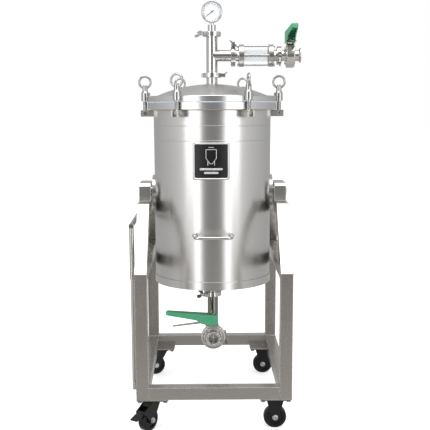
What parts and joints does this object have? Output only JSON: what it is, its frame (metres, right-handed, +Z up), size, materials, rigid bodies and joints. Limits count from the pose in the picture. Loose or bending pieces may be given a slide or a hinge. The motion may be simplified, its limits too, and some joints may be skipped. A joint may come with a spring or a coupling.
{
  "type": "conical fermenter",
  "caption": "Stainless fermenting vessel on trunnions in a wheeled tube frame, with a bolted domed lid, sight glass, gauge and butterfly valves.",
  "frame": {"origin": "on the ground under the middle of the whole outline; the vessel's axis stands 23.3 mm behind it", "axes": "+Z up, +X to the right and -Y towards the front, the side with the name plate"},
  "size_m": [0.6063, 0.7126, 1.4055],
  "materials": {
    "frame_steel": "satin, fine linish lines along each tube",
    "plate_steel": "satin",
    "tank_steel": "brushed, with fine lines that run round the vessel",
    "polished_steel": "polished",
    "zinc_steel": "zinc plated",
    "caster_steel": "gloss black",
    "bronze": "sintered bronze",
    "wheel_black": "moulded black",
    "handle_green": "moulded green",
    "gasket_blue": "translucent silicone",
    "sight_glass": "clear",
    "gauge_glass": "clear",
    "dial_white": "white enamel",
    "needle_black": "matt black",
    "plate_black": "black anodised with a bright border"
  },
  "bodies": {
    "frame": {"legs": "frame_steel", "slanted_braces": "frame_steel", "apex_rails": "frame_steel", "side_rails": "frame_steel", "cross_rails": "frame_steel", "corner_plates": "plate_steel", "fixed_forks": "caster_steel", "swivel_plates": "caster_steel", "bearing_blocks": "frame_steel", "bearing_bushes": "bronze", "frame_screws": "zinc_steel", "handle_rods": "plate_steel"},
    "tank": {"vessel_shell": "tank_steel", "vessel_flange": "tank_steel", "bottom_band": "tank_steel", "lid_gasket": "gasket_blue", "lid": "tank_steel", "bolt_lugs": "plate_steel", "bolt_pins": "polished_steel", "trunnions": "polished_steel", "front_handle": "polished_steel", "name_plate": "plate_black", "tee": "polished_steel", "sight_flanges": "polished_steel", "sight_tie_rods": "polished_steel", "sight_tube": "sight_glass", "pipe_clamps": "polished_steel", "clamp_wing_nuts": "polished_steel", "pipe_gaskets": "gasket_blue", "upper_valve_body": "polished_steel", "lower_valve_body": "polished_steel", "outlet_elbow": "polished_steel", "gauge_adapter": "polished_steel", "gauge_case": "polished_steel", "gauge_dial": "dial_white", "gauge_window": "gauge_glass"},
    "push_handle": {"push_handle": "polished_steel"},
    "swing_bolt_1": {"swing_bolt_1": "polished_steel"},
    "swing_bolt_2": {"swing_bolt_2": "polished_steel"},
    "swing_bolt_3": {"swing_bolt_3": "polished_steel"},
    "swing_bolt_4": {"swing_bolt_4": "polished_steel"},
    "swing_bolt_5": {"swing_bolt_5": "polished_steel"},
    "swing_bolt_6": {"swing_bolt_6": "polished_steel"},
    "swivel_fork_front": {"swivel_fork_front": "caster_steel"},
    "brake_pedal_front": {"brake_pedal_front": "caster_steel"},
    "wheel_front_left": {"wheel_front_left": "wheel_black"},
    "wheel_front_right": {"wheel_front_right": "wheel_black"},
    "swivel_fork_rear": {"swivel_fork_rear": "caster_steel"},
    "brake_pedal_rear": {"brake_pedal_rear": "caster_steel"},
    "wheel_rear_left": {"wheel_rear_left": "wheel_black"},
    "wheel_rear_right": {"wheel_rear_right": "wheel_black"},
    "upper_valve": {"upper_valve_disc": "polished_steel", "upper_valve_handle": "handle_green"},
    "upper_trigger": {"upper_valve_trigger": "polished_steel"},
    "lower_valve": {"lower_valve_disc": "polished_steel", "lower_valve_handle": "handle_green"},
    "lower_trigger": {"lower_valve_trigger": "polished_steel"},
    "gauge_needle": {"gauge_needle": "needle_black"}
  },
  "joints": [
    {"name": "tank_tilt", "type": "hinge", "parent": "frame", "child": "tank", "pos_m": [0, 0.0233, 0.761], "axis": [1, 0, 0], "range_deg": [-90, 90]},
    {"name": "swing_bolt_1_swing", "type": "hinge", "parent": "tank", "child": "swing_bolt_1", "pos_m": [0.2315, 0.0233, 1.029], "axis": [0, 1, 0], "range_deg": [0, 85]},
    {"name": "swing_bolt_2_swing", "type": "hinge", "parent": "tank", "child": "swing_bolt_2", "pos_m": [0.11575, 0.22379, 1.029], "axis": [-0.866, 0.5, 0], "range_deg": [0, 85]},
    {"name": "swing_bolt_3_swing", "type": "hinge", "parent": "tank", "child": "swing_bolt_3", "pos_m": [-0.11575, 0.22379, 1.029], "axis": [-0.866, -0.5, 0], "range_deg": [0, 85]},
    {"name": "swing_bolt_4_swing", "type": "hinge", "parent": "tank", "child": "swing_bolt_4", "pos_m": [-0.2315, 0.0233, 1.029], "axis": [0, -1, 0], "range_deg": [0, 85]},
    {"name": "swing_bolt_5_swing", "type": "hinge", "parent": "tank", "child": "swing_bolt_5", "pos_m": [-0.11575, -0.17719, 1.029], "axis": [0.866, -0.5, 0], "range_deg": [0, 85]},
    {"name": "swing_bolt_6_swing", "type": "hinge", "parent": "tank", "child": "swing_bolt_6", "pos_m": [0.11575, -0.17719, 1.029], "axis": [0.866, 0.5, 0], "range_deg": [0, 85]},
    {"name": "push_handle_lift", "type": "slide", "parent": "frame", "child": "push_handle", "axis": [0, 0, 1], "range_m": [0, 0.12]},
    {"name": "swivel_front", "type": "hinge", "parent": "frame", "child": "swivel_fork_front", "pos_m": [-0.201, -0.2647, 0.095], "axis": [0, 0, 1], "continuous": true},
    {"name": "wheel_front_left_roll", "type": "hinge", "parent": "swivel_fork_front", "child": "wheel_front_left", "pos_m": [-0.21706, -0.28764, 0.0375], "axis": [0.8192, -0.5736, 0], "continuous": true},
    {"name": "brake_front_press", "type": "hinge", "parent": "swivel_fork_front", "child": "brake_pedal_front", "pos_m": [-0.23656, -0.31549, 0.07], "axis": [0.8192, -0.5736, 0], "range_deg": [0, 14]},
    {"name": "wheel_front_right_roll", "type": "hinge", "parent": "frame", "child": "wheel_front_right", "pos_m": [0.201, -0.2647, 0.0375], "axis": [0, 1, 0], "continuous": true},
    {"name": "swivel_rear", "type": "hinge", "parent": "frame", "child": "swivel_fork_rear", "pos_m": [-0.201, 0.3113, 0.095], "axis": [0, 0, 1], "continuous": true},
    {"name": "wheel_rear_left_roll", "type": "hinge", "parent": "swivel_fork_rear", "child": "wheel_rear_left", "pos_m": [-0.22731, 0.30172, 0.0375], "axis": [0.342, -0.9397, 0], "continuous": true},
    {"name": "brake_rear_press", "type": "hinge", "parent": "swivel_fork_rear", "child": "brake_pedal_rear", "pos_m": [-0.25926, 0.29009, 0.07], "axis": [0.342, -0.9397, 0], "range_deg": [0, 14]},
    {"name": "wheel_rear_right_roll", "type": "hinge", "parent": "frame", "child": "wheel_rear_right", "pos_m": [0.201, 0.3113, 0.0375], "axis": [0, 1, 0], "continuous": true},
    {"name": "upper_valve_turn", "type": "hinge", "parent": "tank", "child": "upper_valve", "pos_m": [0.268, 0.0233, 1.224], "axis": [0, 0, 1], "range_deg": [0, 90]},
    {"name": "upper_trigger_squeeze", "type": "hinge", "parent": "upper_valve", "child": "upper_trigger", "pos_m": [0.268, -0.0107, 1.2805], "axis": [-1, 0, 0], "range_deg": [0, 10], "stiffness_Nm_per_rad": 1, "springref_deg": -14.32},
    {"name": "lower_valve_turn", "type": "hinge", "parent": "tank", "child": "lower_valve", "pos_m": [0, -0.0842, 0.259], "axis": [0, 0, 1], "range_deg": [0, 90]},
    {"name": "lower_trigger_squeeze", "type": "hinge", "parent": "lower_valve", "child": "lower_trigger", "pos_m": [-0.034, -0.0842, 0.3155], "axis": [0, 1, 0], "range_deg": [0, 10], "stiffness_Nm_per_rad": 1, "springref_deg": -14.32},
    {"name": "needle_sweep", "type": "hinge", "parent": "tank", "child": "gauge_needle", "pos_m": [0, 0.0173, 1.37], "axis": [0, 1, 0], "range_deg": [0, 257], "stiffness_Nm_per_rad": 0.0003, "springref_deg": -45.84}
  ]
}
